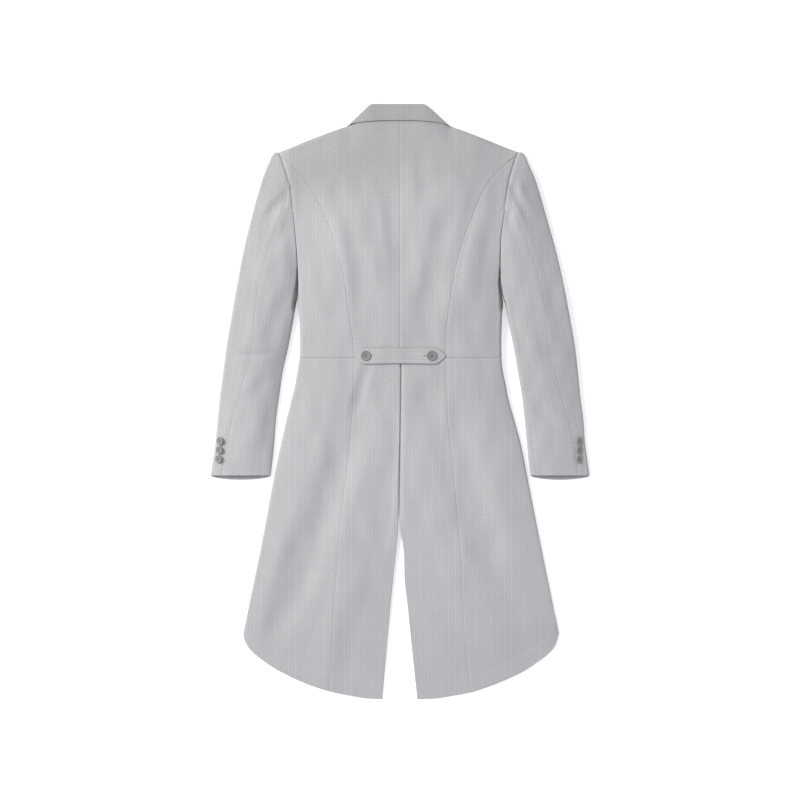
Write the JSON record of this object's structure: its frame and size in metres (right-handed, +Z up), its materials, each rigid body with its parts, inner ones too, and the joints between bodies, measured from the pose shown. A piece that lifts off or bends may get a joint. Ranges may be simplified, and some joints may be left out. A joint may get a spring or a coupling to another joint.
{
  "type": "morning coat",
  "caption": "Grey pin-striped morning coat laid flat and face down, with a half belt, a centre vent and a rounded cutaway hem.",
  "frame": {"origin": "on the floor, under the middle of the coat's length and width as it lies", "axes": "+Z up from the floor, +Y from the hem to the collar, +X towards the coat's right side (its back faces up)"},
  "size_m": [0.7, 1.1015, 0.0345],
  "materials": {
    "suiting": "matt wool suiting with a fine lighter stripe",
    "button": "grey polished button, satin"
  },
  "bodies": {
    "root": {"back_left": "suiting", "back_right": "suiting", "side_body_left": "suiting", "side_body_right": "suiting", "skirt_left": "suiting", "skirt_right": "suiting", "front_left": "suiting", "front_right": "suiting", "lapel_left": "suiting", "lapel_right": "suiting", "collar_fall": "suiting", "collar_stand": "suiting", "top_sleeve_left": "suiting", "top_sleeve_right": "suiting", "under_sleeve_left": "suiting", "under_sleeve_right": "suiting", "half_belt": "suiting", "belt_button_left": "button", "belt_button_right": "button", "front_button": "button", "cuff_button_left_1": "button", "cuff_button_left_2": "button", "cuff_button_left_3": "button", "cuff_button_right_1": "button", "cuff_button_right_2": "button", "cuff_button_right_3": "button"}
  },
  "joints": []
}
